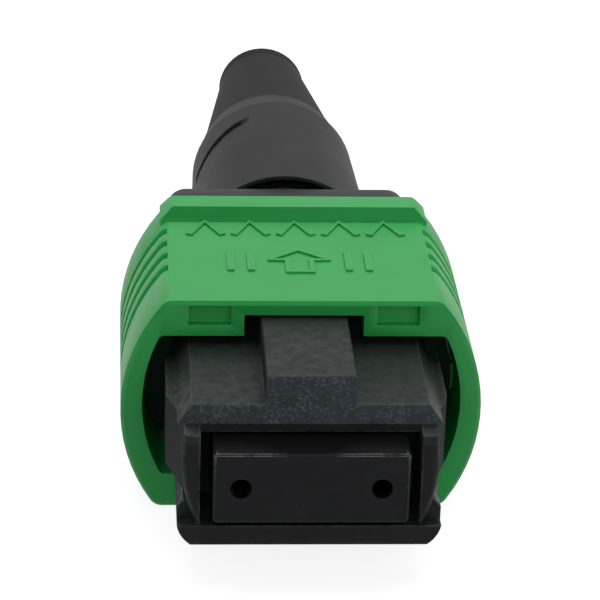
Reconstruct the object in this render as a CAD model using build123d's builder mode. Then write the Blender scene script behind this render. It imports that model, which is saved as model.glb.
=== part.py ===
"""Multi-fibre push-on (MPO) plug with its pull-back sleeve, springs, ferrule and boot.

Millimetres. +Z is up (the key side), +X is right, and the plug's axis runs along Y:
y = 0 is the middle of the polished ferrule face and y grows towards the cable.
"""
import os
from math import cos, pi, radians, sin, tan

from build123d import *

os.makedirs("parts", exist_ok=True)

# ---------------------------------------------------------------- driving dimensions
root = 0.2                       # how far an added form reaches into what carries it

# Fibres
fibre_count = 12
fibre_pitch = 0.25
glass_dia = 0.125
bore_clearance = 0.0015          # radial, glass in its bore
ribbon_thickness = 0.3           # coated fibres side by side in one tape
ribbon_edge = 0.025              # tape beyond the outer fibres
ribbon_corner = 0.12
ribbon_gap = 0.03                # round the ribbon in the ferrule
ribbon_setback = 0.6             # the ribbon ends this far inside the neck

# Ferrule
ferrule_width = 6.4
ferrule_height = 2.5
ferrule_length = 8.0
ferrule_edge_break = 0.1
ferrule_face_break = 0.06        # round the polished face
ferrule_flange_width = 7.0
ferrule_flange_height = 3.0
ferrule_flange_length = 2.0
ferrule_flange_corner = 0.3
guide_pitch = 4.6
guide_hole_dia = 0.7
window_side_gap = 0.2            # glue window, beyond the outer fibres
window_front = 3.2               # where the glass bores open into the window
window_rear = 5.7
window_floor = 0.3               # below the fibre plane
glue_gap = 0.02
glue_dip = 0.05                  # the glue lies this far under the ferrule's top
strip_setback = 0.1              # the ribbon's coating stops this far behind the bores

# Rubber boot in the ferrule
boot_side_wall = 0.22
boot_face_wall = 0.3
ferrule_boot_start = 6.2
ferrule_boot_end = 10.0
ferrule_boot_fit = 0.03          # radial, in the ferrule

# Pin clamp
clamp_side_gap = 0.1             # to the arms of the spring push
clamp_height = 2.7
clamp_thickness = 1.6
clamp_corner = 0.35
clamp_pin_depth = 1.2
clamp_boss_wall = 0.2
clamp_boss_length = 0.8
clamp_boot_fit = 0.05            # radial, round the rubber boot
float_travel = 1.0               # how far the ferrule gives way when mated

# Coils are drawn with flats, so that the wire stays light
coil_sides = 9                   # straight runs in one turn
wire_sides = 6
coil_seat_gap = 0.02

# Main spring
main_wire_dia = 0.45
main_spring_turns = 5.5
main_spring_side_gap = 0.4       # to the arms of the spring push
main_spring_face_gap = 0.15      # to the cavity's roof and floor

# Inner housing
body_face_wall = 0.55            # over and under the cavity
body_side_wall = 0.4             # beside it, at the waist between the wings
wing_reach = 0.21                # guide wings, beyond the waist
flat_setback = 0.46              # the flat top stops this far short of the wings
lower_flat_setback = 0.45        # and the flat bottom
lower_fullness = 0.61            # of the corner between: 0.5 is a chamfer
housing_end = 17.0
nose_front = 0.55                # front of the cheeks and the lower lip
lower_wing_front = 0.95
top_wall_front = 1.42            # front face that carries the key
wing_drop = 0.67                 # upper wings' outer corner, below the top
wing_land = 0.03                 # flat edge under that corner
lower_wing_top = -0.9
lower_wing_slope = 0.25
cheek_bulge = 0.05
cheek_round = 0.22
cheek_wall = 0.53
cheek_foot_wall = 0.1            # at the foot of the cheek, beside the mouth
brow_wall = 1.02                 # above the mouth
brow_setback = 0.08              # the wall over the mouth, behind the key's front face
lip_wall = 0.7                   # below the mouth
mouth_depth = 2.4                # behind the cheeks' front
throat_clearance = 0.06
cavity_side_gap = 0.25           # beside the ferrule's flange
cavity_face_gap = 0.3            # above and below it

# Key
key_width = 2.96
key_height = 1.03
key_end = 11.8
key_round = 0.1

# Side catches for the adapter hooks, and the stops of the sleeve
catch_reach = 0.54               # beyond the waist
ramp_start = 1.8
ramp_end = 3.6
catch_end = 6.6
stop_start = 8.0
stop_length = 0.5
stop_gap = 0.15                  # from the stops to the sleeve's bore
stop_rise = 0.2                  # above the wings' outer corner
rib_gap = 0.27                   # from the rear ribs to the sleeve
rib_length = 0.5
rib_height = 1.3

# Outer sleeve
sleeve_front = 6.0
sleeve_travel = 2.2
sleeve_rear_gap = 0.4            # left to the spring push when pulled right back
bore_top_gap = 0.35              # sleeve to housing
bore_bottom_gap = 0.2
bore_side_gap = 0.78             # beyond the side catches
bore_top_shoulder = 0.6          # how far the flats stop short of the sides
bore_bottom_shoulder = 0.65
bore_corner = 0.25
sleeve_side_wall = 0.73
sleeve_roof_wall = 1.25
sleeve_floor_wall = 1.3
sleeve_top_shoulder = 1.53
sleeve_bottom_shoulder = 1.2
sleeve_widest = 0.1              # height at which the side arcs are widest
sleeve_corner = 0.5
sleeve_edge_break = 0.12
channel_side_gap = 0.55          # sleeve to key
channel_roof_gap = 0.09
slide_clearance = 0.08
tab_length = 0.6
tab_height = 1.0

# Ridge and grip of the sleeve
ridge_height = 0.5
ridge_length = 1.15
ridge_foot = 0.25                # how much further forward the ridge's foot reaches
ridge_break = 0.15
ridge_overrun = 0.12             # past the ends of the flat top
ridge_root = 0.35
ridge_end_break = 0.45
grip_count = 4
grip_pitch = 1.08
grip_width = 0.5
grip_depth = 0.22
grip_setback = 2.7               # from the sleeve's front
grip_flat_reach = 0.1            # how far the grooves run in over the flats

# Badge recesses in the sleeve's front
badge_width = 1.45
badge_height = 0.72
badge_depth = 0.3
badge_offset = 3.2
badge_lift = 0.12                # above the middle of the roof

# Sleeve springs
side_wire_dia = 0.2
side_spring_gap = 0.1            # to the housing and to the sleeve
side_spring_turns = 7

# Spring push
push_flange_width = 8.9
push_flange_height = 6.4
push_flange_length = 1.2
push_flange_corner = 0.7
push_edge_break = 0.18
plug_clearance = 0.1
plug_length = 1.6
arm_thickness = 0.55
arm_height = 2.9
arm_gap = 0.4                    # to the clamp when the ferrule is pushed back
barb_setback = 0.2
barb_length = 1.4
barb_land = 0.1
barb_height = 0.55
barb_reach = 0.35
barb_clearance = 0.1
neck_dia = 5.1
neck_length = 5.8
neck_edge_break = 0.3
neck_bore = 3.6
neck_groove_count = 3
neck_groove_first = 1.9
neck_groove_pitch = 1.3
neck_groove_depth = 0.15
neck_groove_width = 0.5

# Crimp ring
crimp_wall = 0.25
crimp_clearance = 0.05
crimp_setback = 0.8              # behind the push's flange
crimp_overhang = 0.3             # past the neck's end
crimp_neck_down = 0.8
crimp_tail_length = 2.9
crimp_tail_wall = 0.25
cable_play = 0.3                 # radial, cable in the crimp tail

# Strain relief boot
cable_bore_dia = 2.2
boot_length = 20.0
boot_clearance = 0.05
boot_base_wall = 0.65
boot_shoulder_wall = 0.35
boot_tip_wall = 0.74
boot_mouth_wall = 0.1            # wall left at the mouth, where the bore flares
boot_mouth_depth = 2.4                # behind the cheeks' front
boot_window_length = 0.3         # narrow windows, top and bottom, at the flange
boot_window_level = 2.7
boot_shoulder_offset = 9.1
boot_ledge = 0.1
boot_ledge_length = 0.05
boot_tip_length = 1.1
boot_tip_break = 0.45            # the tip's edge is rounded off in two flats
boot_tip_flat = 0.13
boot_band_offset = 1.7           # faint step part-way along the cone
boot_band_step = 0.06
boot_band_length = 0.1
boot_throat = 0.3                # where the bore narrows to the cable
boot_slit_offset = 7.25          # slanting slit on the left flank: its upper end
boot_slit_slant = 33.0           # degrees
boot_slit_top = 2.98
boot_slit_drop = 1.9             # from the upper end to the lower end
boot_slit_width = 0.16
boot_slit_depth = 0.3

# ---------------------------------------------------------------- worked-out places
fibre_places = [(i - (fibre_count - 1) / 2) * fibre_pitch for i in range(fibre_count)]
ribbon_width = fibre_count * fibre_pitch + 2 * ribbon_edge
window_width = ribbon_width + 2 * window_side_gap
ferrule_boot_width = ribbon_width + 2 * (ribbon_gap + boot_side_wall)
ferrule_boot_height = ribbon_thickness + 2 * (ribbon_gap + boot_face_wall)
flange_start = ferrule_length - ferrule_flange_length

cavity_width = ferrule_flange_width + 2 * cavity_side_gap
cavity_height = ferrule_flange_height + 2 * cavity_face_gap
half_body = cavity_height / 2 + body_face_wall
waist = cavity_width / 2 + body_side_wall
body_side = waist + wing_reach
flat_side = body_side - flat_setback
wing_tip = half_body - wing_drop
wing_under = wing_tip - wing_land
lower_flat_side = body_side - lower_flat_setback
mouth_side = waist - cheek_wall
cheek_foot = mouth_side + cheek_foot_wall
mouth_top = half_body - brow_wall
mouth_bottom = lip_wall - half_body
catch_side = waist + catch_reach

bore_top = half_body + bore_top_gap
bore_bottom = -half_body - bore_bottom_gap
bore_side = catch_side + bore_side_gap
sleeve_top = bore_top + sleeve_roof_wall
sleeve_bottom = bore_bottom - sleeve_floor_wall
sleeve_side = bore_side + sleeve_side_wall
sleeve_end = housing_end - sleeve_travel - sleeve_rear_gap
sleeve_length = sleeve_end - sleeve_front
stop_height = 2 * (wing_under + stop_rise)
rib_side = bore_side - rib_gap
rib_start = sleeve_end - rib_length
tab_start = stop_start + stop_length

arm_side = cavity_width / 2 - plug_clearance
arm_inside = arm_side - arm_thickness
clamp_end = ferrule_length + clamp_thickness
arm_front = clamp_end + float_travel + arm_gap
barb_start = arm_front + barb_setback
plug_start = housing_end - plug_length
flange_end = housing_end + push_flange_length
neck_end = flange_end + neck_length
clamp_width = 2 * (arm_inside - clamp_side_gap)

crimp_inner = neck_dia / 2 + crimp_clearance
crimp_outer = crimp_inner + crimp_wall
crimp_start = flange_end + crimp_setback
crimp_step = neck_end + crimp_overhang
tail_start = crimp_step + crimp_neck_down
crimp_end = tail_start + crimp_tail_length
tail_inner = cable_bore_dia / 2 + cable_play
tail_outer = tail_inner + crimp_tail_wall

ring_fit = crimp_outer + boot_clearance
tail_fit = tail_outer + boot_clearance
boot_base = ring_fit + boot_base_wall
boot_shoulder = ring_fit + boot_shoulder_wall
boot_tip = cable_bore_dia / 2 + boot_tip_wall
shoulder_start = flange_end + boot_shoulder_offset
boot_end = flange_end + boot_length
cone_end = boot_end - boot_tip_length
band_start = shoulder_start + boot_band_offset


def station(y):
    """Sketch plane across the plug at y; sketch x is +X and sketch y is +Z."""
    return Plane.XZ.offset(-y)


def finish(part, name):
    """Name a finished piece and write it."""
    part.label = name
    export_step(part, f"parts/{name}.step")


def barrel_outline(top, bottom, side, top_shoulder, bottom_shoulder, corner):
    """Closed outline with a flat top, a flat bottom and convex arcs for sides."""
    with BuildSketch(Plane.XY) as outline:
        with BuildLine():
            Line((0, top), (side - top_shoulder, top))
            ThreePointArc((side - top_shoulder, top), (side, sleeve_widest), (side - bottom_shoulder, bottom))
            Line((side - bottom_shoulder, bottom), (0, bottom))
            mirror(about=Plane.YZ)
        make_face()
        fillet(outline.vertices(), radius=corner)
    return outline.sketch


# ---------------------------------------------------------------- inner housing
def lower_corner():
    """Round right corner beside the lip, and the flat bottom."""
    ThreePointArc(
        (body_side, mouth_bottom),
        (lower_flat_side + lower_flat_setback * lower_fullness, mouth_bottom - lip_wall * lower_fullness),
        (lower_flat_side, -half_body),
    )
    Line((lower_flat_side, -half_body), (0, -half_body))


def lower_wing_side():
    """Right side of the lower wings, down round the corner to the flat bottom."""
    Line((waist, lower_wing_top), (body_side, lower_wing_top - lower_wing_slope))
    Line((body_side, lower_wing_top - lower_wing_slope), (body_side, mouth_bottom))
    lower_corner()


with BuildPart() as inner_housing:
    # Long body: flat top, sloping upper wings, waist, lower wings with round corners
    with BuildSketch(station(top_wall_front)):
        with BuildLine():
            Polyline(
                (0, half_body),
                (flat_side, half_body),
                (body_side, wing_tip),
                (body_side, wing_under),
                (waist, wing_under),
                (waist, lower_wing_top),
            )
            lower_wing_side()
            mirror(about=Plane.YZ)
        make_face()
    extrude(amount=-(housing_end - top_wall_front))

    # Lower wings reach further forward than the top wall
    with BuildSketch(station(lower_wing_front)):
        with BuildLine():
            Line((0, lower_wing_top), (waist, lower_wing_top))
            lower_wing_side()
            mirror(about=Plane.YZ)
        make_face()
    extrude(amount=-(top_wall_front - lower_wing_front))

    # Nose: convex cheeks beside the ferrule and the full-width lip under it
    with BuildSketch(station(nose_front)):
        with BuildLine():
            Line((0, wing_under), (waist, wing_under))
            ThreePointArc((waist, wing_under), (waist + cheek_bulge, 0), (cheek_foot, mouth_bottom))
            Line((cheek_foot, mouth_bottom), (body_side, mouth_bottom))
            lower_corner()
            mirror(about=Plane.YZ)
        make_face()
    extrude(amount=-(top_wall_front - nose_front))
    nose_arcs = inner_housing.faces().sort_by(Axis.Y)[0].edges().filter_by(GeomType.CIRCLE)
    fillet(nose_arcs.sort_by(SortBy.LENGTH)[-2:], radius=cheek_round)

    # Mouth, throat for the ferrule and rear cavity for the spring
    with BuildSketch(station(nose_front)):
        with Locations((0, (mouth_top + mouth_bottom) / 2)):
            Rectangle(2 * mouth_side, mouth_top - mouth_bottom)
    extrude(amount=-mouth_depth, mode=Mode.SUBTRACT)
    with BuildSketch(station(nose_front)):
        Rectangle(ferrule_width + 2 * throat_clearance, ferrule_height + 2 * throat_clearance)
    extrude(amount=-(flange_start - nose_front), mode=Mode.SUBTRACT)
    with BuildSketch(station(flange_start)):
        Rectangle(cavity_width, cavity_height)
    extrude(amount=-(housing_end - flange_start), mode=Mode.SUBTRACT)

    # Open front between the cheeks, back to the smooth wall over the mouth
    with BuildSketch(station(nose_front)):
        with Locations((0, (mouth_top + wing_under) / 2)):
            Rectangle(2 * mouth_side, wing_under - mouth_top)
    extrude(amount=-(top_wall_front + brow_setback - nose_front), mode=Mode.SUBTRACT)

    # Key
    with BuildSketch(station(top_wall_front)):
        with BuildLine():
            FilletPolyline(
                (-key_width / 2, half_body - root),
                (-key_width / 2, half_body + key_height),
                (key_width / 2, half_body + key_height),
                (key_width / 2, half_body - root),
                radius=key_round,
                close=False,
            )
            Line((key_width / 2, half_body - root), (-key_width / 2, half_body - root))
        make_face()
    extrude(amount=-(key_end - top_wall_front))

    # Side ramps that lead the adapter hooks up to the catches
    with BuildSketch(Plane.XY.offset(lower_wing_top)):
        with BuildLine():
            Polyline(
                (waist - root, ramp_start),
                (waist, ramp_start),
                (catch_side, ramp_end),
                (catch_side, catch_end),
                (waist - root, catch_end),
                close=True,
            )
        make_face()
        mirror(about=Plane.YZ)
    extrude(amount=wing_under - lower_wing_top)

    # Tall stops that fill the sides of the sleeve's bore and hide its springs
    with BuildSketch(station(stop_start)):
        for side in (-1, 1):
            with Locations((side * (bore_side + waist - root) / 2, 0)):
                Rectangle(bore_side - waist + root, stop_height)
        add(barrel_outline(
            bore_top - stop_gap, bore_bottom + stop_gap, bore_side - stop_gap,
            bore_top_shoulder, bore_bottom_shoulder, bore_corner,
        ), mode=Mode.INTERSECT)
    extrude(amount=-stop_length)

    # Rear ribs that hold the sleeve springs
    with BuildSketch(station(rib_start)):
        for side in (-1, 1):
            with Locations((side * (rib_side + waist - root) / 2, 0)):
                Rectangle(rib_side - waist + root, rib_height)
    extrude(amount=-rib_length)

    # Windows that the spring push snaps into
    barb_level = (arm_height - barb_height) / 2
    with BuildSketch(Plane.YZ):
        for level in (-barb_level, barb_level):
            with Locations((barb_start + barb_length / 2, level)):
                Rectangle(barb_length + 2 * barb_clearance, barb_height + 2 * barb_clearance)
    extrude(amount=body_side, both=True, mode=Mode.SUBTRACT)


# ---------------------------------------------------------------- outer sleeve
def sleeve_outline(inset):
    """The sleeve's outside, moved in by inset."""
    return barrel_outline(
        sleeve_top - inset, sleeve_bottom + inset, sleeve_side - inset,
        sleeve_top_shoulder, sleeve_bottom_shoulder, sleeve_corner,
    )


top_flat = sleeve_side - sleeve_top_shoulder
with BuildPart() as outer_sleeve:
    with BuildSketch(station(sleeve_front)):
        add(sleeve_outline(0))
    extrude(amount=-sleeve_length)
    end_faces = outer_sleeve.faces().filter_by(Axis.Y)
    chamfer(end_faces.edges(), length=sleeve_edge_break)

    # Pull ridge across the rear of the top, with ends that run out into the shoulders
    with BuildSketch(Plane.YZ):
        with BuildLine():
            Polyline(
                (sleeve_end - ridge_length - ridge_foot, sleeve_top - ridge_root),
                (sleeve_end - ridge_length - ridge_foot, sleeve_top),
                (sleeve_end - ridge_length, sleeve_top + ridge_height),
                (sleeve_end - ridge_break, sleeve_top + ridge_height),
                (sleeve_end, sleeve_top + ridge_height - ridge_break),
                (sleeve_end, sleeve_top - ridge_root),
                close=True,
            )
        make_face()
    extrude(amount=top_flat + ridge_overrun, both=True)
    ridge_crest = outer_sleeve.faces().filter_by(Axis.Z).sort_by(Axis.Z)[-1]
    ridge_ends = ridge_crest.edges().filter_by(Axis.Y)
    chamfer(ridge_ends, length=ridge_end_break)

    # Finger grip: grooves round both flanks
    with BuildPart(mode=Mode.PRIVATE) as grip_cutter:
        for groove in range(grip_count):
            with BuildSketch(station(sleeve_front + grip_setback + groove * grip_pitch)):
                add(sleeve_outline(-grip_depth))
                add(sleeve_outline(grip_depth), mode=Mode.SUBTRACT)
                Rectangle(
                    2 * (top_flat - grip_flat_reach), 2 * (sleeve_top - sleeve_bottom), mode=Mode.SUBTRACT
                )
            extrude(amount=-grip_width)
    add(grip_cutter.part, mode=Mode.SUBTRACT)

    # Inside: room round the inner housing, a channel for the key
    with BuildSketch(station(sleeve_front)):
        add(barrel_outline(
            bore_top, bore_bottom, bore_side, bore_top_shoulder, bore_bottom_shoulder, bore_corner,
        ))
    extrude(amount=-sleeve_length, mode=Mode.SUBTRACT)
    channel_roof = half_body + key_height + channel_roof_gap
    with BuildSketch(station(sleeve_front)):
        with Locations((0, (channel_roof + bore_top - root) / 2)):
            Rectangle(key_width + 2 * channel_side_gap, channel_roof - bore_top + root)
    extrude(amount=-sleeve_length, mode=Mode.SUBTRACT)

    # Two shallow badge recesses in the front face
    badge_level = (sleeve_top + bore_top) / 2 + badge_lift
    with BuildSketch(station(sleeve_front)):
        with Locations((-badge_offset, badge_level), (badge_offset, badge_level)):
            Rectangle(badge_width, badge_height)
    extrude(amount=-badge_depth, mode=Mode.SUBTRACT)

    # Tabs that push on the sleeve springs and stop against the housing
    tab_inside = waist + slide_clearance
    with BuildSketch(station(tab_start)):
        for side in (-1, 1):
            with Locations((side * (tab_inside + bore_side + root) / 2, 0)):
                Rectangle(bore_side + root - tab_inside, tab_height)
    extrude(amount=-tab_length)

# ---------------------------------------------------------------- spring push
with BuildPart() as spring_push:
    with BuildSketch(station(housing_end)):
        RectangleRounded(push_flange_width, push_flange_height, push_flange_corner)
    extrude(amount=-push_flange_length)
    flange_faces = spring_push.faces().filter_by(Axis.Y)
    chamfer(flange_faces.edges(), length=push_edge_break)
    with BuildSketch(station(plug_start)):
        Rectangle(cavity_width - 2 * plug_clearance, cavity_height - 2 * plug_clearance)
    extrude(amount=-(plug_length + root))
    # Arms beside the spring, with a pair of barbs at each tip
    with BuildSketch(station(arm_front)):
        for side in (-1, 1):
            with Locations((side * (arm_side + arm_inside) / 2, 0)):
                Rectangle(arm_thickness, arm_height)
    extrude(amount=-(plug_start - arm_front + root))
    for level in (-arm_height / 2, arm_height / 2 - barb_height):
        with BuildSketch(Plane.XY.offset(level)):
            with BuildLine():
                Polyline(
                    (arm_side - root, barb_start),
                    (arm_side, barb_start),
                    (arm_side + barb_reach, barb_start + barb_length - barb_land),
                    (arm_side + barb_reach, barb_start + barb_length),
                    (arm_side - root, barb_start + barb_length),
                    close=True,
                )
            make_face()
            mirror(about=Plane.YZ)
        extrude(amount=barb_height)
    # Grooved neck that the crimp ring grips
    with BuildSketch(station(flange_end - root)):
        Circle(neck_dia / 2)
    extrude(amount=-(neck_length + root))
    neck_rim = spring_push.faces().sort_by(Axis.Y)[-1].edges()
    chamfer(neck_rim, length=neck_edge_break)
    for groove in range(neck_groove_count):
        with BuildSketch(station(flange_end + neck_groove_first + groove * neck_groove_pitch)):
            Circle(neck_dia / 2)
            Circle(neck_dia / 2 - neck_groove_depth, mode=Mode.SUBTRACT)
        extrude(amount=-neck_groove_width, mode=Mode.SUBTRACT)
    # Passage for the fibres
    with BuildSketch(station(plug_start)):
        Circle(neck_bore / 2)
    extrude(amount=-(neck_end - plug_start), mode=Mode.SUBTRACT)

# ---------------------------------------------------------------- crimp ring
with BuildPart() as crimp_ring:
    with BuildSketch(Plane.XY):
        with BuildLine():
            Polyline(
                (crimp_inner, crimp_start),
                (crimp_outer, crimp_start),
                (crimp_outer, crimp_step),
                (tail_outer, tail_start),
                (tail_outer, crimp_end),
                (tail_inner, crimp_end),
                (tail_inner, tail_start),
                (crimp_inner, crimp_step),
                close=True,
            )
        make_face()
    revolve(axis=Axis.Y)


# ---------------------------------------------------------------- strain relief boot
def base_radius(y):
    """Outer radius of the stretch from the flange to the shoulder at y."""
    return boot_base + (boot_shoulder - boot_base) * (y - flange_end) / boot_shoulder_offset


def cone_radius(y):
    """Outer radius of the tapered stretch at y."""
    cone_top = boot_shoulder - boot_ledge
    return cone_top + (boot_tip - cone_top) * (y - shoulder_start) / (cone_end - shoulder_start)


with BuildPart() as strain_relief_boot:
    with BuildSketch(Plane.XY):
        with BuildLine():
            Polyline(
                (boot_base - boot_mouth_wall, flange_end),
                (boot_base, flange_end),
                (boot_shoulder, shoulder_start),
                (boot_shoulder - boot_ledge, shoulder_start + boot_ledge_length),
                (cone_radius(band_start), band_start),
                (cone_radius(band_start) - boot_band_step, band_start + boot_band_length),
                (boot_tip, cone_end),
                (boot_tip, boot_end - boot_tip_break),
                (boot_tip - boot_tip_flat, boot_end - boot_tip_flat),
                (boot_tip - boot_tip_break, boot_end),
                (cable_bore_dia / 2, boot_end),
                (cable_bore_dia / 2, crimp_end + boot_clearance + boot_throat),
                (tail_fit, crimp_end + boot_clearance),
                (tail_fit, tail_start + boot_clearance),
                (ring_fit, crimp_step + boot_clearance),
                (ring_fit, flange_end + boot_mouth_depth),
                close=True,
            )
        make_face()
    revolve(axis=Axis.Y)
    # Windows that show the neck
    with BuildSketch(station(flange_end)):
        for side in (-1, 1):
            with Locations((0, side * (boot_window_level + boot_base))):
                Rectangle(2 * boot_base, 2 * boot_base)
    extrude(amount=-boot_window_length, mode=Mode.SUBTRACT)
    # Slit that slants down the left flank
    with BuildPart(mode=Mode.PRIVATE) as slit_cutter:
        slit_start = flange_end + boot_slit_offset
        slit_run = boot_slit_drop * tan(radians(boot_slit_slant))
        with BuildSketch(Plane.YZ):
            with BuildLine():
                Polyline(
                    (slit_start, boot_slit_top),
                    (slit_start + boot_slit_width, boot_slit_top),
                    (slit_start + boot_slit_width - slit_run, boot_slit_top - boot_slit_drop),
                    (slit_start - slit_run, boot_slit_top - boot_slit_drop),
                    close=True,
                )
            make_face()
        extrude(amount=-boot_base)
        with BuildSketch(station(flange_end)):
            Circle(base_radius(slit_start) - boot_slit_depth)
        extrude(amount=-boot_shoulder_offset, mode=Mode.SUBTRACT)
    add(slit_cutter.part, mode=Mode.SUBTRACT)

# ---------------------------------------------------------------- ferrule
with BuildPart() as mt_ferrule:
    with BuildSketch(station(0)):
        Rectangle(ferrule_width, ferrule_height)
    extrude(amount=-ferrule_length)
    long_edges = mt_ferrule.edges().filter_by(Axis.Y)
    chamfer(long_edges, length=ferrule_edge_break)
    face_rim = mt_ferrule.faces().sort_by(Axis.Y)[0].edges()
    chamfer(face_rim, length=ferrule_face_break)
    with BuildSketch(station(flange_start)):
        RectangleRounded(ferrule_flange_width, ferrule_flange_height, ferrule_flange_corner)
    extrude(amount=-ferrule_flange_length)
    # Guide-pin holes
    with BuildSketch(station(0)):
        with GridLocations(guide_pitch, 0, 2, 1):
            Circle(guide_hole_dia / 2)
    extrude(amount=-ferrule_length, mode=Mode.SUBTRACT)
    # One bore for each glass fibre
    with BuildSketch(station(0)):
        with Locations(*[(x, 0) for x in fibre_places]):
            Circle(glass_dia / 2 + bore_clearance)
    extrude(amount=-window_front, mode=Mode.SUBTRACT)
    # Glue window, open at the top
    with BuildSketch(Plane.XY.offset(-window_floor)):
        with Locations((0, (window_front + window_rear) / 2)):
            Rectangle(window_width, window_rear - window_front)
    extrude(amount=ferrule_height, mode=Mode.SUBTRACT)
    # Rear opening for the rubber boot
    with BuildSketch(station(window_rear)):
        SlotOverall(ferrule_boot_width + 2 * ferrule_boot_fit, ferrule_boot_height + 2 * ferrule_boot_fit)
    extrude(amount=-(ferrule_length - window_rear), mode=Mode.SUBTRACT)

with BuildPart() as window_epoxy:
    fill_bottom = ribbon_thickness / 2 + ribbon_gap
    with BuildSketch(Plane.XY.offset(fill_bottom)):
        with Locations((0, (window_front + window_rear) / 2)):
            Rectangle(window_width - 2 * glue_gap, window_rear - window_front - 2 * glue_gap)
    extrude(amount=ferrule_height / 2 - fill_bottom - glue_dip)

with BuildPart() as ferrule_boot:
    with BuildSketch(station(ferrule_boot_start)):
        SlotOverall(ferrule_boot_width, ferrule_boot_height)
        Rectangle(ribbon_width + 2 * ribbon_gap, ribbon_thickness + 2 * ribbon_gap, mode=Mode.SUBTRACT)
    extrude(amount=-(ferrule_boot_end - ferrule_boot_start))

clamp_slot_width = ferrule_boot_width + 2 * clamp_boot_fit
clamp_slot_height = ferrule_boot_height + 2 * clamp_boot_fit
with BuildPart() as pin_clamp:
    with BuildSketch(station(ferrule_length)):
        RectangleRounded(clamp_width, clamp_height, clamp_corner)
    extrude(amount=-clamp_thickness)
    with BuildSketch(station(clamp_end)):
        SlotOverall(clamp_slot_width + 2 * clamp_boss_wall, clamp_slot_height + 2 * clamp_boss_wall)
    extrude(amount=-clamp_boss_length)
    with BuildSketch(station(ferrule_length)):
        with GridLocations(guide_pitch, 0, 2, 1):
            Circle(guide_hole_dia / 2)
    extrude(amount=-clamp_pin_depth, mode=Mode.SUBTRACT)
    with BuildSketch(station(ferrule_length)):
        SlotOverall(clamp_slot_width, clamp_slot_height)
    extrude(amount=-(clamp_thickness + clamp_boss_length), mode=Mode.SUBTRACT)


# ---------------------------------------------------------------- springs
def coil(x, start, end, half_width, half_height, turns, wire):
    """Compression spring along Y between two seats; oval when the halves differ."""
    first = start + wire / 2 + coil_seat_gap
    last = end - wire / 2 - coil_seat_gap
    steps = round(turns * coil_sides)
    points = []
    for step in range(steps + 1):
        turn = 2 * pi * turns * step / steps
        points.append((
            x + half_width * cos(turn),
            first + (last - first) * step / steps,
            half_height * sin(turn),
        ))
    with BuildPart() as spring:
        with BuildLine() as path:
            Polyline(*points)
        with BuildSketch(Plane(origin=path.line @ 0, z_dir=path.line % 0)):
            RegularPolygon(wire / 2, wire_sides)
        sweep(path=path.line, transition=Transition.RIGHT)
    return spring.part


main_spring = coil(
    0, clamp_end, plug_start,
    arm_inside - main_spring_side_gap - main_wire_dia / 2,
    cavity_height / 2 - main_spring_face_gap - main_wire_dia / 2,
    main_spring_turns, main_wire_dia,
)
side_coil = (bore_side - waist - side_wire_dia) / 2 - side_spring_gap
side_spring_x = (bore_side + waist) / 2
for side, name in ((-1, "left_sleeve_spring"), (1, "right_sleeve_spring")):
    finish(
        coil(side * side_spring_x, tab_start + tab_length, rib_start,
             side_coil, side_coil, side_spring_turns, side_wire_dia),
        name,
    )

# ---------------------------------------------------------------- fibres
# Bare glass runs from the polished face back through its bore to the ribbon
strip_end = window_front + strip_setback
for number, x in enumerate(fibre_places, start=1):
    with BuildPart() as fibre:
        with BuildSketch(station(0)):
            with Locations((x, 0)):
                Circle(glass_dia / 2)
        extrude(amount=-strip_end)
    finish(fibre.part, f"fibre_{number:02d}")

with BuildPart() as fibre_ribbon:
    with BuildSketch(station(strip_end)):
        RectangleRounded(ribbon_width, ribbon_thickness, ribbon_corner)
    extrude(amount=-(neck_end - ribbon_setback - strip_end))

finish(inner_housing.part, "inner_housing")
finish(outer_sleeve.part, "outer_sleeve")
finish(spring_push.part, "spring_push")
finish(crimp_ring.part, "crimp_ring")
finish(strain_relief_boot.part, "strain_relief_boot")
finish(mt_ferrule.part, "mt_ferrule")
finish(window_epoxy.part, "window_epoxy")
finish(ferrule_boot.part, "ferrule_boot")
finish(pin_clamp.part, "pin_clamp")
finish(fibre_ribbon.part, "fibre_ribbon")
finish(main_spring, "main_spring")
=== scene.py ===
# %% [markdown]
# # A multi-fibre plug, dressed for the camera
# The solids of this plug come from CAD: a black inner housing with a key on top, a flat
# ferrule with two guide-pin holes, a green sleeve that pulls back, and a tapered boot.
# This lesson leaves every size as it is. It rounds the moulded edges, winds smooth springs,
# adds the raised marks, and gives each part the plastic, rubber, resin or metal it is made of.

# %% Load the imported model
from math import cos, pi, radians, sin

import bmesh
import bpy
from mathutils import Matrix, Vector


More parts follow.
